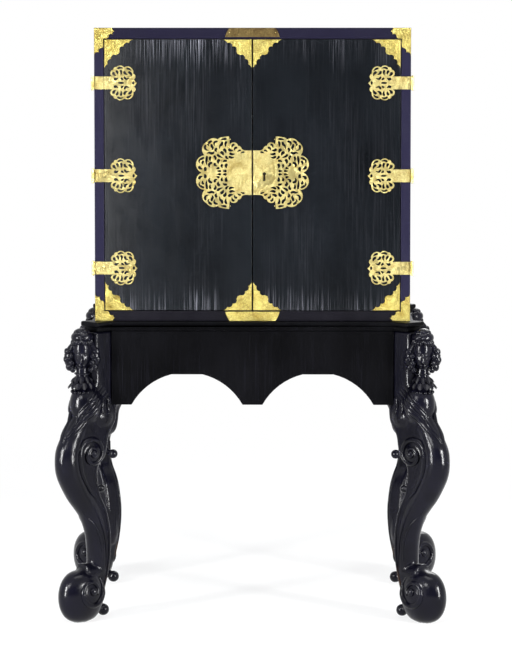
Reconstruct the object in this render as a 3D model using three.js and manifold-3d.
// Cabinet on stand: a two-door case with engraved brass mounts on a stand with four carved scroll legs.
// Millimetres, +Z up, front towards -Y, origin on the floor under the middle of the stand.
import * as THREE from "three";
import { mergeVertices } from "three/addons/utils/BufferGeometryUtils.js";
import Module from "manifold-3d";

const wasm = await Module();
wasm.setup();

// Fits and running clearances
const SEAT_GAP = 0.3;
const CUT_OVERRUN = 2;

// Case
const CASE_WIDTH = 900;
const CASE_HEIGHT = 836;
const CASE_DEPTH = 480;
const SIDE_THICKNESS = 27;
const TOP_THICKNESS = 31;
const BOTTOM_THICKNESS = 28.5;
const BACK_THICKNESS = 14;
const SHELF_THICKNESS = 16;
const SHELF_GROOVE = 7;
const SHELF_SETBACK = 34;
const SHELF_HEIGHT_SHARES = [0.35, 0.68];

// Doors
const DOOR_THICKNESS = 22;
const DOOR_EDGE_GAP = 2;
const DOOR_MEETING_GAP = 3.4;

// Stand
const STAND_HEIGHT = 858;
const STAND_TOP_THICKNESS = 28;
const STAND_TOP_STEP_DEPTH = 13;
const STAND_TOP_STEP_INSET = 7;
const STAND_TOP_SIDE_OVERHANG = 12;
const STAND_TOP_FRONT_OVERHANG = 18;
const APRON_THICKNESS = 25;
const APRON_DEPTH = 212;
const APRON_INSET = 10;
const ARCH_SPAN = 317.6;
const ARCH_CROWN_FLAT = 88.4;
const ARCH_RISE = 87.5;
const PENDANT_WIDTH = 57;

// Legs: each stands in a plane across its corner, and its outline is drawn outwards from the post's centre
const LEG_POST_X = 405;
const LEG_POST_Y = 205;
const LEG_THICKNESS = 62;
const LEG_REACH = 192.5;
const POST_FRONT = 86;
const POST_BACK = 20;
const CROSS_ANGLE = Math.PI / 4;

// Scrolls carved on the faces of each leg
const SCROLL_RIB_WIDTH = 8;
const SCROLL_RIB_HEIGHT = 4;
const SCROLL_STEPS = 10;
const KNEE_SCROLL_RADIUS = 38;
const FOOT_SCROLL_RADIUS = 46;
const KNEE_BALL_RADIUS = 11;
const HEEL_BALL_RADIUS = 17;

// Bust on each leg
const HEAD_OFFSET = 112;
const HEAD_WIDTH = 46;
const HEAD_DEPTH = 54;
const HEAD_LENGTH = 126;
const TURBAN_DROP = 15;
const TURBAN_WIDTH = 62;
const TURBAN_HEIGHT = 36;
const CURL_RADIUS = 11;
const COLLAR_HEIGHT = 48;
const COLLAR_WIDTH = 78;
const NECK_WIDTH = 36;
const BUST_WIDTH = 84;
const BUST_HEIGHT = 112;

// Brass sheet
const PLATE_THICKNESS = 1.6;
const PLATE_EDGE_INSET = 0.6;
const ARC_STEPS = 4;
const KNUCKLE_SIDES = 8;

// Hinges
const HINGE_STRAP_HEIGHT = 38;
const HINGE_KNUCKLE_RADIUS = 4;
const HINGE_SIDE_LEAF_DEPTH = 34;
const HINGE_CORNER_SETBACK = 0.6;
const HINGE_PIN_HEAD_RADIUS = 3.3;
const HINGE_PIN_HEAD_HEIGHT = 2;
const HINGE_BOTTOM_INSET = 151.7;
const HINGE_TOP_INSET = 156.3;
const CARTOUCHE_START = 43;
const CARTOUCHE_WIDTH = 66;
const CARTOUCHE_HEIGHT = 98;
const CARTOUCHE_FINIAL = 13;

// Corner and centre mounts
const DOOR_MOUNT_SIZE = 80;
const CASE_MOUNT_RAIL_REACH = 66;
const CASE_MOUNT_STILE_REACH = 79;
const CENTRE_MOUNT_HEIGHT = 26;
const CENTRE_MOUNT_WIDE = 155;
const CENTRE_MOUNT_NARROW = 131;

// Lock plates
const LOCK_PLATE_REACH = 153.4;
const LOCK_PLATE_HEIGHT = 205;
const LOCK_HEIGHT_SHARE = 0.51;
const KEYHOLE_OFFSET = 32;
const KEYHOLE_DROP = 3.7;
const KEYHOLE_RADIUS = 4.4;
const KEYHOLE_SLOT_WIDTH = 4.4;
const KEYHOLE_SLOT_LENGTH = 20.4;

// Lock behind the right door and its keeper behind the left door
const LOCK_CASE_WIDTH = 74;
const LOCK_CASE_HEIGHT = 96;
const LOCK_CASE_DEPTH = 15;
const LOCK_EDGE_SETBACK = 4;
const LOCK_WALL = 3;
const LOCK_BOLT_HEIGHT = 22;
const LOCK_BOLT_LENGTH = 44;
const LOCK_BOLT_THROW = 15;
const LOCK_FIT = 0.4;
const KEEPER_WIDTH = 22;
const KEEPER_WALL = 4;

// Slide bolts behind the left door
const SLIDE_PLATE_LENGTH = 110;
const SLIDE_PLATE_WIDTH = 34;
const SLIDE_PLATE_THICKNESS = 2;
const SLIDE_BOLT_WIDTH = 12;
const SLIDE_BOLT_DEPTH = 6;
const SLIDE_BOLT_LENGTH = 150;
const SLIDE_BOLT_THROW = 12;
const SLIDE_GUIDE_LENGTH = 14;
const SLIDE_GUIDE_WALL = 2;
const SLIDE_KNOB_RADIUS = 5;
const SLIDE_KNOB_HEIGHT = 9;
const SLIDE_EDGE_OFFSET = 40;
const SLIDE_HOLE_SPARE = 3;

// Outlines: each row is across, along and the bulge of the edge that leaves the point, as shares
const LOCK_OUTLINE_SHARES = [
  [0, 0.63, 0],
  [0.1, 0.63, 0.06],
  [0.33, 0.84, 0],
  [0.41, 0.81, 0],
  [0.4, 1, 0.1],
  [0.61, 0.92, 0.3],
  [0.88, 0.45, 0.42],
];
const LOCK_WAIST_SHARE = 0.935;
const LOCK_PIERCING_SHARES = [
  [0.3, 0.66, 0.045],
  [0.49, 0.78, 0.05],
  [0.7, 0.66, 0.065],
  [0.6, 0.38, 0.06],
  [0.84, 0.2, 0.06],
];
const DOOR_MOUNT_SHARES = [
  [0, 0, 0],
  [1, 0, 0],
  [0.94, 0.1, 0.3],
  [0.66, 0.3, 0.28],
  [0.42, 0.42, 0],
  [0.3, 0.66, 0.28],
  [0.1, 0.94, 0.3],
  [0, 1, 0],
];
const CARTOUCHE_SHARES = [
  [0, -0.22, 0.3],
  [0.06, -0.55, 0.35],
  [0.22, -0.8, 0.5],
  [0.58, -0.8, 0.45],
  [0.9, -0.3, 0.2],
];
const CARTOUCHE_PIERCING_SHARES = [
  [0.4, 0.8, 0.07],
  [0.72, 0.52, 0.1],
  [0.18, 0.5, 0.06],
];
const CASE_MOUNT_END_SHARES = [0.8, 0.62, 0.72, 0.86];
const MOUNT_LOBE_SHARE = 0.3;
const MOUNT_SHOULDER_SHARE = 0.2;

// Leg outline as shares of the leg's reach and height, from the post's outer edge down and round the foot
const LEG_OUTER_SHARES = [
  [0.52, 0.83],
  [0.6, 0.79],
  [0.7, 0.755],
  [0.722, 0.705],
  [0.865, 0.651],
  [0.975, 0.614],
  [1, 0.577],
  [0.99, 0.542],
  [0.942, 0.504],
  [0.86, 0.466],
  [0.74, 0.426],
  [0.606, 0.394],
  [0.487, 0.362],
  [0.415, 0.327],
  [0.364, 0.292],
  [0.347, 0.245],
  [0.352, 0.19],
  [0.37, 0.152],
];
const LEG_FOOT_SHARES = [
  [0.37, 0.152],
  [0.45, 0.172],
  [0.56, 0.1805],
  [0.68, 0.1795],
  [0.8, 0.169],
  [0.9, 0.141],
  [0.95, 0.09],
  [0.93, 0.056],
  [0.855, 0.022],
  [0.72, 0],
];
const LEG_INNER_SHARES = [
  [0.5, 0],
  [0.34, 0.005],
  [0.255, 0.018],
  [0.238, 0.042],
  [0.262, 0.075],
  [0.265, 0.106],
  [0.17, 0.177],
  [0.138, 0.235],
  [0.138, 0.286],
  [0.16, 0.321],
  [0.193, 0.37],
  [0.27, 0.408],
  [0.37, 0.44],
  [0.25, 0.454],
  [0.21, 0.466],
  [0.25, 0.488],
  [0.34, 0.515],
  [0.39, 0.548],
  [0.27, 0.559],
  [0.204, 0.584],
  [0.19, 0.61],
  [0.16, 0.643],
  [0.05, 0.676],
  [0.008, 0.7],
  [0.005, 0.738],
];
const KNEE_SCROLL_SHARES = [0.46, 0.584];
const FOOT_SCROLL_SHARES = [0.635, 0.108];
const KNEE_BALL_SHARES = [0.165, 0.464];
const HEEL_BALL_SHARE = 0.2;
const NOSE_WIDTH_SHARE = 0.125;
const NOSE_LENGTH_SHARE = 0.5;
const CURL_OFFSET_SHARE = 0.35;
const CURL_SPACING_SHARE = 1.3;
const BUST_DROP_SHARE = 0.25;

// Places that follow from the sizes
const FRONT_PLANE = -CASE_DEPTH / 2;
const CASE_BASE = STAND_HEIGHT + SEAT_GAP;
const CASE_CROWN = CASE_BASE + CASE_HEIGHT;
const LEG_HEIGHT = STAND_HEIGHT - STAND_TOP_THICKNESS;
const TURBAN_TOP = STAND_HEIGHT - TURBAN_DROP;
const CHIN_HEIGHT = TURBAN_TOP - HEAD_LENGTH;
const DOOR_BOTTOM = CASE_BASE + BOTTOM_THICKNESS + DOOR_EDGE_GAP;
const DOOR_TOP = CASE_CROWN - TOP_THICKNESS - DOOR_EDGE_GAP;
const DOOR_HEIGHT = DOOR_TOP - DOOR_BOTTOM;
const DOOR_INNER_EDGE = DOOR_MEETING_GAP / 2;
const DOOR_OUTER_EDGE = CASE_WIDTH / 2 - SIDE_THICKNESS - DOOR_EDGE_GAP;
const DOOR_INNER_FACE = FRONT_PLANE + DOOR_THICKNESS;
const PLATE_BACK = FRONT_PLANE - SEAT_GAP;
const KNUCKLE_X = CASE_WIDTH / 2 + SEAT_GAP + HINGE_KNUCKLE_RADIUS;
const KNUCKLE_Y = FRONT_PLANE - SEAT_GAP - HINGE_KNUCKLE_RADIUS;
const PIN_HOLE_RADIUS = HINGE_KNUCKLE_RADIUS - PLATE_THICKNESS;
const LOCK_CENTRE_HEIGHT = DOOR_BOTTOM + DOOR_HEIGHT * LOCK_HEIGHT_SHARE;
const KEYHOLE_HEIGHT = LOCK_CENTRE_HEIGHT - KEYHOLE_DROP;
const SLIDE_BACK = DOOR_INNER_FACE + SEAT_GAP;
const SLIDE_BOLT_BACK = SLIDE_BACK + SLIDE_PLATE_THICKNESS + SEAT_GAP;
const SLIDE_X = -DOOR_INNER_EDGE - SLIDE_EDGE_OFFSET;

// Finishes
const japan = new THREE.MeshStandardMaterial({ color: 0x2a2b30, roughness: 0.38, metalness: 0 });
const caseBlack = new THREE.MeshStandardMaterial({ color: 0x2c2a3c, roughness: 0.4, metalness: 0 });
const ebonised = new THREE.MeshStandardMaterial({ color: 0x1d1d22, roughness: 0.32, metalness: 0 });
const brass = new THREE.MeshStandardMaterial({ color: 0xd9c679, roughness: 0.35, metalness: 1 });
const iron = new THREE.MeshStandardMaterial({ color: 0x4a4744, roughness: 0.6, metalness: 0.8 });
const innerWood = new THREE.MeshStandardMaterial({ color: 0x4d3322, roughness: 0.6, metalness: 0 });

const cabinet = new THREE.Group();

// Names one closed solid and adds it to the cabinet
function addPiece(name, geometry, material) {
  const mesh = new THREE.Mesh(geometry, material);
  mesh.name = name;
  cabinet.add(mesh);
}

// Turns a closed geometry into a solid that can be joined and cut
function solidOf(geometry) {
  const bare = geometry.clone();
  bare.deleteAttribute("normal");
  bare.deleteAttribute("uv");
  const merged = mergeVertices(bare);
  const vertProperties = new Float32Array(merged.attributes.position.array);
  const triVerts = new Uint32Array(merged.index.array);
  return new wasm.Manifold(new wasm.Mesh({ numProp: 3, vertProperties, triVerts }));
}

// Turns a solid back into a geometry with flat faces
function geometryOf(solid) {
  const mesh = solid.getMesh();
  const geometry = new THREE.BufferGeometry();
  geometry.setAttribute("position", new THREE.BufferAttribute(new Float32Array(mesh.vertProperties), 3));
  geometry.setIndex(new THREE.BufferAttribute(new Uint32Array(mesh.triVerts), 1));
  const flat = geometry.toNonIndexed();
  flat.computeVertexNormals();
  return flat;
}

// Joins geometries into one solid
function joined(geometries) {
  return geometries.map(solidOf).reduce((sum, next) => sum.add(next));
}

// Box between two x, two y and two z values, given in any order
function box([xa, xb], [ya, yb], [za, zb]) {
  const size = [Math.abs(xb - xa), Math.abs(yb - ya), Math.abs(zb - za)];
  return new THREE.BoxGeometry(...size).translate((xa + xb) / 2, (ya + yb) / 2, (za + zb) / 2);
}

// Points of an edge from one point to the next, bulging to the right of its way by a share of its length
function bulgedEdge([x0, z0], [x1, z1], bulge) {
  if (bulge === 0) {
    return [new THREE.Vector2(x0, z0)];
  }
  const points = [];
  for (let step = 0; step < ARC_STEPS; step += 1) {
    const t = step / ARC_STEPS;
    const lift = bulge * Math.sin(Math.PI * t);
    const x = x0 + (x1 - x0) * t + (z1 - z0) * lift;
    const z = z0 + (z1 - z0) * t - (x1 - x0) * lift;
    points.push(new THREE.Vector2(x, z));
  }
  return points;
}

// Closed outline through rows of across, along and bulge
function outline(rows) {
  const points = rows.flatMap((row, index) => {
    const next = rows[(index + 1) % rows.length];
    return bulgedEdge(row, next, row[2]);
  });
  return new THREE.Shape(points);
}

// Upright sheet: the outline's second value becomes height, and its front faces -Y
function uprightSheet(shape, backY, thickness) {
  const options = { depth: thickness, bevelEnabled: false, curveSegments: ARC_STEPS };
  return new THREE.ExtrudeGeometry(shape, options).rotateX(Math.PI / 2).translate(0, backY, 0);
}

// Moves and mirrors an outline's rows, keeping each edge's bulge on the outside
function placedRows(rows, originX, originZ, signX, signZ) {
  const turned = rows.map(([across, along, bulge]) => {
    return [originX + signX * across, originZ + signZ * along, bulge];
  });
  if (signX * signZ > 0) {
    return turned;
  }
  const bulges = turned.map((row) => row[2]);
  const reversed = turned.reverse();
  return reversed.map(([x, z], index) => [x, z, bulges[(bulges.length * 2 - 2 - index) % bulges.length]]);
}

// Round hole in a sheet
function roundHole(x, z, radius, sides) {
  const points = [];
  for (let side = 0; side < sides; side += 1) {
    const angle = (side / sides) * Math.PI * 2;
    points.push(new THREE.Vector2(x + radius * Math.cos(angle), z + radius * Math.sin(angle)));
  }
  return new THREE.Path(points);
}

// Case boards, back panel and shelves
function addCase() {
  const half = CASE_WIDTH / 2;
  const depth = [FRONT_PLANE, -FRONT_PLANE];
  const innerHalf = half - SIDE_THICKNESS;
  const innerBottom = CASE_BASE + BOTTOM_THICKNESS + SEAT_GAP;
  const innerTop = CASE_CROWN - TOP_THICKNESS - SEAT_GAP;
  const bottom = solidOf(box([-half, half], depth, [CASE_BASE, CASE_BASE + BOTTOM_THICKNESS]));
  const top = solidOf(box([-half, half], depth, [CASE_CROWN - TOP_THICKNESS, CASE_CROWN]));
  const boltX = [SLIDE_X - SLIDE_BOLT_WIDTH / 2 - LOCK_FIT, SLIDE_X + SLIDE_BOLT_WIDTH / 2 + LOCK_FIT];
  const boltY = [SLIDE_BOLT_BACK - LOCK_FIT, SLIDE_BOLT_BACK + SLIDE_BOLT_DEPTH + LOCK_FIT];
  const holeDepth = SLIDE_BOLT_THROW + SLIDE_HOLE_SPARE - DOOR_EDGE_GAP;
  const lowerMouth = CASE_BASE + BOTTOM_THICKNESS;
  const upperMouth = CASE_CROWN - TOP_THICKNESS;
  const lowerHole = solidOf(box(boltX, boltY, [lowerMouth - holeDepth, lowerMouth + CUT_OVERRUN]));
  const upperHole = solidOf(box(boltX, boltY, [upperMouth - CUT_OVERRUN, upperMouth + holeDepth]));
  addPiece("case_bottom", geometryOf(bottom.subtract(lowerHole)), caseBlack);
  addPiece("case_top", geometryOf(top.subtract(upperHole)), caseBlack);
  const shelfFront = FRONT_PLANE + DOOR_THICKNESS + SHELF_SETBACK;
  const shelfBack = -FRONT_PLANE - BACK_THICKNESS - SEAT_GAP;
  const clear = innerTop - innerBottom;
  const shelfHeights = SHELF_HEIGHT_SHARES.map((share) => innerBottom + clear * share);
  for (const [name, side] of [["left", -1], ["right", 1]]) {
    let board = solidOf(box([side * innerHalf, side * half], depth, [innerBottom, innerTop]));
    for (const height of shelfHeights) {
      const groove = box(
        [side * (innerHalf - CUT_OVERRUN), side * (innerHalf + SHELF_GROOVE)],
        [shelfFront - SEAT_GAP, shelfBack + SEAT_GAP],
        [height - SEAT_GAP, height + SHELF_THICKNESS + SEAT_GAP],
      );
      board = board.subtract(solidOf(groove));
    }
    addPiece(`case_side_${name}`, geometryOf(board), caseBlack);
  }
  const backHalf = innerHalf - SEAT_GAP;
  const backDepth = [-FRONT_PLANE - BACK_THICKNESS, -FRONT_PLANE];
  addPiece("case_back", box([-backHalf, backHalf], backDepth, [innerBottom, innerTop]), innerWood);
  const shelfHalf = innerHalf + SHELF_GROOVE - SEAT_GAP;
  shelfHeights.forEach((height, index) => {
    const shelf = box([-shelfHalf, shelfHalf], [shelfFront, shelfBack], [height, height + SHELF_THICKNESS]);
    addPiece(index === 0 ? "shelf_lower" : "shelf_upper", shelf, innerWood);
  });
}

// Outline of a keyhole that narrows downwards into a slot
function keyholeCut(thicknessFrom, thicknessTo) {
  const x = DOOR_INNER_EDGE + KEYHOLE_OFFSET;
  const eye = new THREE.CylinderGeometry(KEYHOLE_RADIUS, KEYHOLE_RADIUS, thicknessTo - thicknessFrom, 10);
  eye.translate(x, (thicknessFrom + thicknessTo) / 2, KEYHOLE_HEIGHT);
  const slot = box(
    [x - KEYHOLE_SLOT_WIDTH / 2, x + KEYHOLE_SLOT_WIDTH / 2],
    [thicknessFrom, thicknessTo],
    [KEYHOLE_HEIGHT - KEYHOLE_SLOT_LENGTH, KEYHOLE_HEIGHT],
  );
  return joined([eye, slot]);
}

// The two doors, flush in the case
function addDoors() {
  const depth = [FRONT_PLANE, DOOR_INNER_FACE];
  addPiece("door_left", box([-DOOR_OUTER_EDGE, -DOOR_INNER_EDGE], depth, [DOOR_BOTTOM, DOOR_TOP]), japan);
  const right = solidOf(box([DOOR_INNER_EDGE, DOOR_OUTER_EDGE], depth, [DOOR_BOTTOM, DOOR_TOP]));
  const keyhole = keyholeCut(FRONT_PLANE - CUT_OVERRUN, DOOR_INNER_FACE + CUT_OVERRUN);
  addPiece("door_right", geometryOf(right.subtract(keyhole)), japan);
}

// Upright tube on the hinge axis
function knuckle(side, low, high) {
  const ring = new THREE.Shape(roundHole(0, 0, HINGE_KNUCKLE_RADIUS, KNUCKLE_SIDES).getPoints());
  ring.holes.push(roundHole(0, 0, PIN_HOLE_RADIUS, KNUCKLE_SIDES));
  const tube = new THREE.ExtrudeGeometry(ring, { depth: high - low, bevelEnabled: false });
  return tube.translate(side * KNUCKLE_X, KNUCKLE_Y, low);
}

// Pierced cartouche at the inner end of a hinge strap
function cartouche(side, centre) {
  const half = CARTOUCHE_HEIGHT / 2;
  const lower = CARTOUCHE_SHARES.map(([x, z, bulge]) => [x * CARTOUCHE_WIDTH, z * half, bulge]);
  const tip = [CARTOUCHE_WIDTH + CARTOUCHE_FINIAL, 0, 0];
  const upper = [...CARTOUCHE_SHARES].reverse().map(([x, z], index) => {
    const source = CARTOUCHE_SHARES[CARTOUCHE_SHARES.length - 2 - index];
    return [x * CARTOUCHE_WIDTH, -z * half, source ? source[2] : 0];
  });
  const start = side * (CASE_WIDTH / 2 - CARTOUCHE_START);
  const shape = outline(placedRows([...lower, tip, ...upper], start, centre, -side, 1));
  for (const [x, z, radius] of CARTOUCHE_PIERCING_SHARES) {
    for (const level of [-1, 1]) {
      const holeX = start - side * x * CARTOUCHE_WIDTH;
      shape.holes.push(roundHole(holeX, centre + level * z * half, radius * CARTOUCHE_HEIGHT, 6));
    }
  }
  return uprightSheet(shape, PLATE_BACK, PLATE_THICKNESS);
}

// One hinge: the leaf on the door, the leaf on the case side and the pin
function addHinge(side, name, centre) {
  const half = HINGE_STRAP_HEIGHT / 2;
  const third = HINGE_STRAP_HEIGHT / 6;
  const leafY = [PLATE_BACK - PLATE_THICKNESS, PLATE_BACK];
  const middleZ = [centre - third + SEAT_GAP / 2, centre + third - SEAT_GAP / 2];
  const wholeZ = [centre - half, centre + half];
  const strapStart = side * (CASE_WIDTH / 2 - HINGE_CORNER_SETBACK);
  const strapEnd = side * (CASE_WIDTH / 2 - CARTOUCHE_START - CARTOUCHE_WIDTH / 4);
  const doorLeaf = joined([
    knuckle(side, ...middleZ),
    box([side * KNUCKLE_X, strapEnd], leafY, middleZ),
    box([strapStart, strapEnd], leafY, wholeZ),
    cartouche(side, centre),
  ]);
  addPiece(`${name}_door_leaf`, geometryOf(doorLeaf), brass);
  const plateX = [side * (CASE_WIDTH / 2 + SEAT_GAP), side * (CASE_WIDTH / 2 + SEAT_GAP + PLATE_THICKNESS)];
  const plateFront = FRONT_PLANE + SEAT_GAP;
  const pieces = [box(plateX, [plateFront, plateFront + HINGE_SIDE_LEAF_DEPTH], wholeZ)];
  for (const end of [-1, 1]) {
    const low = Math.min(centre + end * half, centre + end * (third + SEAT_GAP / 2));
    const high = Math.max(centre + end * half, centre + end * (third + SEAT_GAP / 2));
    pieces.push(knuckle(side, low, high));
    pieces.push(box(plateX, [KNUCKLE_Y, plateFront + SEAT_GAP], [low, high]));
  }
  addPiece(`${name}_side_leaf`, geometryOf(joined(pieces)), brass);
  const pinRadius = PIN_HOLE_RADIUS - SEAT_GAP;
  const headLow = half + SEAT_GAP;
  const headHigh = headLow + HINGE_PIN_HEAD_HEIGHT;
  const profile = [
    [0, -headHigh],
    [HINGE_PIN_HEAD_RADIUS, -headHigh],
    [HINGE_PIN_HEAD_RADIUS, -headLow],
    [pinRadius, -headLow],
    [pinRadius, headLow],
    [HINGE_PIN_HEAD_RADIUS, headLow],
    [HINGE_PIN_HEAD_RADIUS, headHigh],
    [0, headHigh],
  ].map(([radius, height]) => new THREE.Vector2(radius, height));
  const pin = new THREE.LatheGeometry(profile, KNUCKLE_SIDES).rotateX(Math.PI / 2);
  addPiece(`${name}_pin`, pin.translate(side * KNUCKLE_X, KNUCKLE_Y, centre), brass);
}

// Three hinges on each door
function addHinges() {
  const bottom = CASE_BASE + HINGE_BOTTOM_INSET;
  const top = CASE_CROWN - HINGE_TOP_INSET;
  for (const [name, side] of [["left", -1], ["right", 1]]) {
    addHinge(side, `hinge_${name}_bottom`, bottom);
    addHinge(side, `hinge_${name}_middle`, (bottom + top) / 2);
    addHinge(side, `hinge_${name}_top`, top);
  }
}

// Scalloped triangular mounts on the four corners of each door
function addDoorMounts() {
  const rows = DOOR_MOUNT_SHARES.map(([x, z, bulge]) => [x * DOOR_MOUNT_SIZE, z * DOOR_MOUNT_SIZE, bulge]);
  for (const [doorName, side] of [["left", -1], ["right", 1]]) {
    for (const [edgeName, edge, inward] of [
      ["outer", DOOR_OUTER_EDGE, -1],
      ["inner", DOOR_INNER_EDGE, 1],
    ]) {
      for (const [levelName, level, up] of [["top", DOOR_TOP, -1], ["bottom", DOOR_BOTTOM, 1]]) {
        const x = side * (edge + inward * PLATE_EDGE_INSET);
        const shape = outline(placedRows(rows, x, level + up * PLATE_EDGE_INSET, side * inward, up));
        const name = `door_mount_${doorName}_${levelName}_${edgeName}`;
        addPiece(name, uprightSheet(shape, PLATE_BACK, PLATE_THICKNESS), brass);
      }
    }
  }
}

// L-shaped mounts on the four corners of the case front, and the two mounts on its rails
function addCaseMounts() {
  const [railEnd, railLobe, stileEnd, stileLobe] = CASE_MOUNT_END_SHARES;
  for (const [levelName, level, up, rail] of [
    ["top", CASE_CROWN, -1, TOP_THICKNESS],
    ["bottom", CASE_BASE, 1, BOTTOM_THICKNESS],
  ]) {
    const across = rail - PLATE_EDGE_INSET * 2;
    const along = SIDE_THICKNESS - PLATE_EDGE_INSET * 2;
    const rows = [
      [0, 0, 0],
      [CASE_MOUNT_RAIL_REACH * railEnd, 0, MOUNT_LOBE_SHARE],
      [CASE_MOUNT_RAIL_REACH * railEnd, across * railLobe, MOUNT_SHOULDER_SHARE],
      [CASE_MOUNT_RAIL_REACH * railLobe, across, 0],
      [along, across, 0],
      [along, CASE_MOUNT_STILE_REACH * stileEnd, MOUNT_SHOULDER_SHARE],
      [along / 2, CASE_MOUNT_STILE_REACH * stileLobe, MOUNT_LOBE_SHARE],
      [0, CASE_MOUNT_STILE_REACH, 0],
    ];
    for (const [sideName, side] of [["left", -1], ["right", 1]]) {
      const x = side * (CASE_WIDTH / 2 - PLATE_EDGE_INSET);
      const shape = outline(placedRows(rows, x, level + up * PLATE_EDGE_INSET, -side, up));
      const sheet = uprightSheet(shape, PLATE_BACK, PLATE_THICKNESS);
      addPiece(`case_mount_${levelName}_${sideName}`, sheet, brass);
    }
    const outer = level + up * PLATE_EDGE_INSET;
    const inner = outer + up * CENTRE_MOUNT_HEIGHT;
    const centre = new THREE.Shape([
      new THREE.Vector2(-CENTRE_MOUNT_NARROW / 2, outer),
      new THREE.Vector2(CENTRE_MOUNT_NARROW / 2, outer),
      new THREE.Vector2(CENTRE_MOUNT_WIDE / 2, inner),
      new THREE.Vector2(-CENTRE_MOUNT_WIDE / 2, inner),
    ]);
    addPiece(`case_mount_${levelName}_centre`, uprightSheet(centre, PLATE_BACK, PLATE_THICKNESS), brass);
  }
}

// Large pierced lock plate at the meeting edge of one door
function lockPlate(side) {
  const half = LOCK_PLATE_HEIGHT / 2;
  const upper = LOCK_OUTLINE_SHARES.map(([x, z, bulge]) => [x * LOCK_PLATE_REACH, z * half, bulge]);
  const lastBulge = LOCK_OUTLINE_SHARES[LOCK_OUTLINE_SHARES.length - 1][2];
  const waist = [LOCK_WAIST_SHARE * LOCK_PLATE_REACH, 0, lastBulge];
  const lower = [...upper].reverse().map(([x, z], index) => {
    const source = upper[upper.length - 2 - index];
    return [x, -z, source ? source[2] : 0];
  });
  const rows = [...upper, waist, ...lower].map(([x, z, bulge]) => [x, z, -bulge]);
  const x0 = side * (DOOR_INNER_EDGE + PLATE_EDGE_INSET);
  const placed = rows.map(([x, z, bulge]) => [x0 + side * x, LOCK_CENTRE_HEIGHT + z, side * bulge]);
  const shape = outline(placed);
  for (const [x, z, radius] of LOCK_PIERCING_SHARES) {
    for (const level of [-1, 1]) {
      const holeX = x0 + side * x * LOCK_PLATE_REACH;
      const holeZ = LOCK_CENTRE_HEIGHT + level * z * half;
      shape.holes.push(roundHole(holeX, holeZ, radius * LOCK_PLATE_REACH, 6));
    }
  }
  return uprightSheet(shape, PLATE_BACK, PLATE_THICKNESS);
}

// Lock plates, the lock behind the right door and its keeper behind the left door
function addLock() {
  addPiece("lock_plate_left", lockPlate(-1), brass);
  const keyhole = keyholeCut(PLATE_BACK - PLATE_THICKNESS - CUT_OVERRUN, PLATE_BACK + CUT_OVERRUN);
  addPiece("lock_plate_right", geometryOf(solidOf(lockPlate(1)).subtract(keyhole)), brass);
  const back = DOOR_INNER_FACE + SEAT_GAP;
  const front = back + LOCK_CASE_DEPTH;
  const near = DOOR_INNER_EDGE + LOCK_EDGE_SETBACK;
  const caseZ = [LOCK_CENTRE_HEIGHT - LOCK_CASE_HEIGHT / 2, LOCK_CENTRE_HEIGHT + LOCK_CASE_HEIGHT / 2];
  const boltZ = [LOCK_CENTRE_HEIGHT - LOCK_BOLT_HEIGHT / 2, LOCK_CENTRE_HEIGHT + LOCK_BOLT_HEIGHT / 2];
  const boltY = [back + LOCK_WALL + LOCK_FIT, front - LOCK_WALL - LOCK_FIT];
  const channel = box(
    [near - CUT_OVERRUN, near + LOCK_BOLT_LENGTH + LOCK_FIT],
    [back + LOCK_WALL, front - LOCK_WALL],
    [boltZ[0] - LOCK_FIT, boltZ[1] + LOCK_FIT],
  );
  const lockBody = solidOf(box([near, near + LOCK_CASE_WIDTH], [back, front], caseZ));
  addPiece("lock_case", geometryOf(lockBody.subtract(solidOf(channel))), iron);
  addPiece("lock_bolt", box([near, near + LOCK_BOLT_LENGTH], boltY, boltZ), iron);
  const keeperNear = -DOOR_INNER_EDGE - PLATE_EDGE_INSET;
  const keeperX = [keeperNear - KEEPER_WIDTH, keeperNear];
  const keeperZ = [boltZ[0] - LOCK_FIT - KEEPER_WALL, boltZ[1] + LOCK_FIT + KEEPER_WALL];
  const pocketReach = near - LOCK_BOLT_THROW - LOCK_FIT - LOCK_WALL;
  const pocket = box(
    [Math.min(pocketReach, keeperNear - LOCK_WALL), keeperNear + CUT_OVERRUN],
    [back + LOCK_WALL, front - LOCK_WALL],
    [boltZ[0] - LOCK_FIT, boltZ[1] + LOCK_FIT],
  );
  const keeper = solidOf(box(keeperX, [back, front], keeperZ)).subtract(solidOf(pocket));
  addPiece("lock_keeper", geometryOf(keeper), iron);
}

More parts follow.
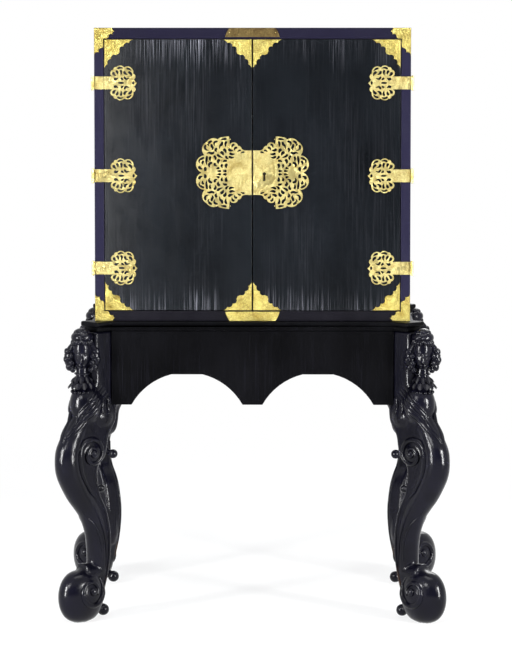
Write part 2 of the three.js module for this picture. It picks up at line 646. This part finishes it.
// One slide bolt with its guide plate on the back of the left door
function addSlideBolt(name, edge, inward) {
  const centreX = SLIDE_X;
  const plateX = [centreX - SLIDE_PLATE_WIDTH / 2, centreX + SLIDE_PLATE_WIDTH / 2];
  const plateEnd = edge + inward * (PLATE_EDGE_INSET + SLIDE_GUIDE_WALL);
  const plateY = [SLIDE_BACK, SLIDE_BACK + SLIDE_PLATE_THICKNESS];
  const pieces = [box(plateX, plateY, [plateEnd, plateEnd + inward * SLIDE_PLATE_LENGTH])];
  const boltX = [centreX - SLIDE_BOLT_WIDTH / 2, centreX + SLIDE_BOLT_WIDTH / 2];
  const boltY = [SLIDE_BOLT_BACK, SLIDE_BOLT_BACK + SLIDE_BOLT_DEPTH];
  const guideOuterX = SLIDE_BOLT_WIDTH / 2 + LOCK_FIT + SLIDE_GUIDE_WALL;
  const guideOuterY = boltY[1] + LOCK_FIT + SLIDE_GUIDE_WALL;
  for (const start of [plateEnd, plateEnd + inward * (SLIDE_PLATE_LENGTH - SLIDE_GUIDE_LENGTH)]) {
    const z = [start, start + inward * SLIDE_GUIDE_LENGTH];
    for (const flank of [-1, 1]) {
      const x = [centreX + flank * (guideOuterX - SLIDE_GUIDE_WALL), centreX + flank * guideOuterX];
      pieces.push(box(x, [plateY[1] - SLIDE_PLATE_THICKNESS / 2, guideOuterY], z));
    }
    pieces.push(box([centreX - guideOuterX, centreX + guideOuterX], [boltY[1] + LOCK_FIT, guideOuterY], z));
  }
  addPiece(`${name}_plate`, geometryOf(joined(pieces)), iron);
  const boltEnd = edge + inward * PLATE_EDGE_INSET;
  const bar = box(boltX, boltY, [boltEnd, boltEnd + inward * SLIDE_BOLT_LENGTH]);
  const knob = new THREE.CylinderGeometry(SLIDE_KNOB_RADIUS, SLIDE_KNOB_RADIUS, SLIDE_KNOB_HEIGHT, 10);
  const knobHeight = boltEnd + inward * (SLIDE_BOLT_LENGTH - SLIDE_KNOB_RADIUS * 2);
  knob.translate(centreX, boltY[1] + SLIDE_KNOB_HEIGHT / 2 - SEAT_GAP, knobHeight);
  addPiece(name, geometryOf(joined([bar, knob])), iron);
}

// Slab of the stand's top: a board with an ear over each leg
function topSlab(inset, low, high) {
  const halfX = CASE_WIDTH / 2 + STAND_TOP_SIDE_OVERHANG - inset;
  const halfY = CASE_DEPTH / 2 + STAND_TOP_FRONT_OVERHANG - inset;
  let slab = solidOf(box([-halfX, halfX], [-halfY, halfY], [low, high]));
  const earReach = POST_FRONT - SEAT_GAP - inset;
  const earHalf = LEG_THICKNESS / 2 + STAND_TOP_STEP_INSET - inset;
  for (const [sideX, sideY] of [[-1, -1], [1, -1], [1, 1], [-1, 1]]) {
    const ear = box([-POST_BACK, earReach], [-earHalf, earHalf], [low, high]);
    ear.rotateZ(Math.atan2(sideY, sideX)).translate(sideX * LEG_POST_X, sideY * LEG_POST_Y, 0);
    slab = slab.add(solidOf(ear));
  }
  return slab;
}

// Room that an apron leaves for the posts of the legs
function postClearances() {
  const half = LEG_THICKNESS / 2 + SEAT_GAP;
  return [[-1, -1], [1, -1], [1, 1], [-1, 1]].map(([sideX, sideY]) => {
    const room = box([-POST_BACK - SEAT_GAP, LEG_REACH], [-half, half], [0, STAND_HEIGHT]);
    room.rotateZ(Math.atan2(sideY, sideX)).translate(sideX * LEG_POST_X, sideY * LEG_POST_Y, 0);
    return solidOf(room);
  });
}

// Arch cut into the lower edge of an apron, from its right foot to its left one
function cutArch(shape, centre, base) {
  const half = ARCH_SPAN / 2;
  const crown = ARCH_CROWN_FLAT / 2;
  const drop = (half * half - crown * crown - ARCH_RISE * ARCH_RISE) / (2 * ARCH_RISE);
  const radius = Math.hypot(half, drop);
  const footAngle = Math.asin(drop / radius);
  const crownAngle = Math.asin((drop + ARCH_RISE) / radius);
  shape.absarc(centre, base - drop, radius, footAngle, crownAngle, false);
  shape.absarc(centre, base - drop, radius, Math.PI - crownAngle, Math.PI - footAngle, false);
}

// Apron outline, drawn from its right end to its left one, with its arches
function apronShape(halfLength, low, high, archCentres) {
  const shape = new THREE.Shape();
  shape.moveTo(halfLength, high);
  shape.lineTo(halfLength, low);
  for (const centre of archCentres) {
    cutArch(shape, centre, low);
  }
  shape.lineTo(-halfLength, low);
  shape.lineTo(-halfLength, high);
  return shape;
}

// Top board of the stand and the four aprons below it
function addStandFrame() {
  const stepLevel = STAND_HEIGHT - STAND_TOP_STEP_DEPTH;
  const upper = topSlab(0, stepLevel, STAND_HEIGHT);
  const lower = topSlab(STAND_TOP_STEP_INSET, LEG_HEIGHT + SEAT_GAP, stepLevel);
  addPiece("stand_top", geometryOf(upper.add(lower)), ebonised);
  const rooms = postClearances();
  const trimmed = (geometry) => rooms.reduce((rest, room) => rest.subtract(room), solidOf(geometry));
  const low = LEG_HEIGHT - APRON_DEPTH;
  const frontY = CASE_DEPTH / 2 + STAND_TOP_FRONT_OVERHANG - APRON_INSET;
  const sideX = CASE_WIDTH / 2 + STAND_TOP_SIDE_OVERHANG - APRON_INSET;
  const frontHalf = LEG_POST_X + POST_BACK;
  const sideHalf = LEG_POST_Y;
  const archCentre = PENDANT_WIDTH / 2 + ARCH_SPAN / 2;
  const frontShape = apronShape(frontHalf, low, LEG_HEIGHT, [archCentre, -archCentre]);
  const front = uprightSheet(frontShape, -frontY + APRON_THICKNESS, APRON_THICKNESS);
  addPiece("apron_front", geometryOf(trimmed(front)), ebonised);
  const backShape = apronShape(frontHalf, low + ARCH_RISE, LEG_HEIGHT, []);
  addPiece("apron_back", geometryOf(trimmed(uprightSheet(backShape, frontY, APRON_THICKNESS))), ebonised);
  for (const [name, side] of [["left", -1], ["right", 1]]) {
    const sideShape = apronShape(sideHalf, low, LEG_HEIGHT, [0]);
    const sheet = uprightSheet(sideShape, APRON_THICKNESS / 2, APRON_THICKNESS);
    sheet.rotateZ(Math.PI / 2).translate(side * (sideX - APRON_THICKNESS / 2), 0, 0);
    addPiece(`apron_${name}`, geometryOf(trimmed(sheet)), ebonised);
  }
}

// Points of the leg's outline in its own plane
function legOutline() {
  const placed = (rows) => rows.map(([u, z]) => new THREE.Vector2(u * LEG_REACH, z * LEG_HEIGHT));
  const smooth = (rows) => new THREE.SplineCurve(placed(rows)).getPoints(rows.length - 1);
  return new THREE.Shape([
    new THREE.Vector2(-POST_BACK, LEG_HEIGHT),
    new THREE.Vector2(-POST_BACK, LEG_HEIGHT - APRON_DEPTH),
    ...smooth(LEG_INNER_SHARES).reverse(),
    ...smooth(LEG_FOOT_SHARES).reverse(),
    ...smooth(LEG_OUTER_SHARES).reverse().slice(1),
    new THREE.Vector2(POST_FRONT, LEG_HEIGHT),
  ]);
}

// Spiral rib on one face of the leg, closing on its eye
function scrollRib([u, z], radius, startAngle, turn, face) {
  const points = [];
  for (let step = 0; step <= SCROLL_STEPS; step += 1) {
    const t = step / SCROLL_STEPS;
    const reach = radius * (1 - t) + SCROLL_RIB_WIDTH * t;
    const angle = startAngle + turn * t;
    const across = u + reach * Math.cos(angle);
    points.push(new THREE.Vector3(across, (face * LEG_THICKNESS) / 2, z + reach * Math.sin(angle)));
  }
  const path = new THREE.CatmullRomCurve3(points);
  const section = new THREE.Shape([
    new THREE.Vector2(-SCROLL_RIB_HEIGHT, -SCROLL_RIB_WIDTH / 2),
    new THREE.Vector2(SCROLL_RIB_HEIGHT, -SCROLL_RIB_WIDTH / 2),
    new THREE.Vector2(SCROLL_RIB_HEIGHT, SCROLL_RIB_WIDTH / 2),
    new THREE.Vector2(-SCROLL_RIB_HEIGHT, SCROLL_RIB_WIDTH / 2),
  ]);
  return new THREE.ExtrudeGeometry(section, { steps: SCROLL_STEPS, extrudePath: path });
}

// Ball or egg with its middle at a point
function egg([x, y, z], [halfX, halfY, halfZ], around, up) {
  const ball = new THREE.SphereGeometry(1, around, up).rotateX(Math.PI / 2);
  return ball.scale(halfX, halfY, halfZ).translate(x, y, z);
}

// Carved head with its turban, side curls and pleated collar, turned by an angle about the head's axis
function bust(turn) {
  const headHigh = TURBAN_TOP - TURBAN_HEIGHT;
  const headMiddle = (CHIN_HEIGHT + headHigh) / 2;
  const headHalf = (headHigh - CHIN_HEIGHT) / 2 + SCROLL_RIB_WIDTH;
  const turbanHalf = TURBAN_HEIGHT / 2;
  const pieces = [
    egg([0, 0, headMiddle], [HEAD_DEPTH / 2, HEAD_WIDTH / 2, headHalf], 10, 6),
    egg([0, 0, TURBAN_TOP - turbanHalf], [TURBAN_WIDTH / 2, TURBAN_WIDTH / 2, turbanHalf], 10, 5),
  ];
  const noseHalf = HEAD_WIDTH * NOSE_WIDTH_SHARE;
  const nose = new THREE.ConeGeometry(noseHalf, HEAD_WIDTH * NOSE_LENGTH_SHARE, 4);
  nose.rotateX(Math.PI / 2).translate(HEAD_DEPTH / 2, 0, headMiddle - noseHalf);
  pieces.push(nose);
  for (const flank of [-1, 1]) {
    for (const level of [-1, 0, 1]) {
      const y = flank * (HEAD_WIDTH / 2 + CURL_RADIUS * CURL_OFFSET_SHARE);
      const z = headMiddle + level * CURL_RADIUS * CURL_SPACING_SHARE;
      pieces.push(egg([-CURL_RADIUS / 2, y, z], [CURL_RADIUS, CURL_RADIUS, CURL_RADIUS], 6, 4));
    }
  }
  const neckLow = CHIN_HEIGHT - COLLAR_HEIGHT;
  const collarProfile = [
    [0, neckLow],
    [COLLAR_WIDTH / 2, neckLow],
    [NECK_WIDTH / 2, CHIN_HEIGHT],
    [NECK_WIDTH / 2, headMiddle],
    [0, headMiddle],
  ].map(([radius, height]) => new THREE.Vector2(radius, height));
  pieces.push(new THREE.LatheGeometry(collarProfile, 12).rotateX(Math.PI / 2));
  return joined(pieces.map((piece) => piece.rotateZ(turn)));
}

// One carved leg with its bust, standing in the plane y = 0
function legSolid(turn) {
  const body = new THREE.ExtrudeGeometry(legOutline(), { depth: LEG_THICKNESS, bevelEnabled: false });
  body.rotateX(Math.PI / 2).translate(0, LEG_THICKNESS / 2, 0);
  const place = ([u, z]) => [u * LEG_REACH, z * LEG_HEIGHT];
  const knee = place(KNEE_SCROLL_SHARES);
  const foot = place(FOOT_SCROLL_SHARES);
  const kneeBall = place(KNEE_BALL_SHARES);
  const heel = HEEL_BALL_SHARE * LEG_REACH;
  const ball = (u, z, radius) => egg([u, 0, z], [radius, radius, radius], 8, 6);
  const bustMiddle = CHIN_HEIGHT - COLLAR_HEIGHT - BUST_HEIGHT * BUST_DROP_SHARE;
  const nape = [(POST_FRONT + HEAD_OFFSET) / 2, 0, (CHIN_HEIGHT + TURBAN_TOP) / 2];
  let leg = joined([
    body,
    ball(kneeBall[0], kneeBall[1], KNEE_BALL_RADIUS),
    ball(heel, HEEL_BALL_RADIUS, HEEL_BALL_RADIUS),
    egg([POST_FRONT, 0, bustMiddle], [BUST_WIDTH / 2, BUST_WIDTH / 2, BUST_HEIGHT / 2], 10, 6),
    egg(nape, [HEAD_OFFSET - POST_FRONT, NECK_WIDTH / 2, HEAD_LENGTH / 2], 8, 6),
  ]);
  for (const face of [-1, 1]) {
    leg = leg.add(solidOf(scrollRib(knee, KNEE_SCROLL_RADIUS, Math.PI / 2, Math.PI * 2.5, face)));
    leg = leg.add(solidOf(scrollRib(foot, FOOT_SCROLL_RADIUS, -Math.PI / 2, Math.PI * 2.5, face)));
  }
  const head = geometryOf(bust(turn)).translate(HEAD_OFFSET, 0, 0);
  return leg.add(solidOf(head));
}

// The four legs: each bust looks to the front or, on the rear legs, to the rear
function addLegs() {
  for (const [name, sideX, sideY] of [
    ["front_left", -1, -1],
    ["front_right", 1, -1],
    ["rear_right", 1, 1],
    ["rear_left", -1, 1],
  ]) {
    const leg = geometryOf(legSolid(sideX * sideY * CROSS_ANGLE));
    leg.rotateZ(Math.atan2(sideY, sideX)).translate(sideX * LEG_POST_X, sideY * LEG_POST_Y, 0);
    addPiece(`leg_${name}`, leg, ebonised);
  }
}

addStandFrame();
addLegs();
addCase();
addDoors();
addHinges();
addDoorMounts();
addCaseMounts();
addLock();
addSlideBolt("top_bolt", DOOR_TOP, -1);
addSlideBolt("bottom_bolt", DOOR_BOTTOM, 1);

export default cabinet;
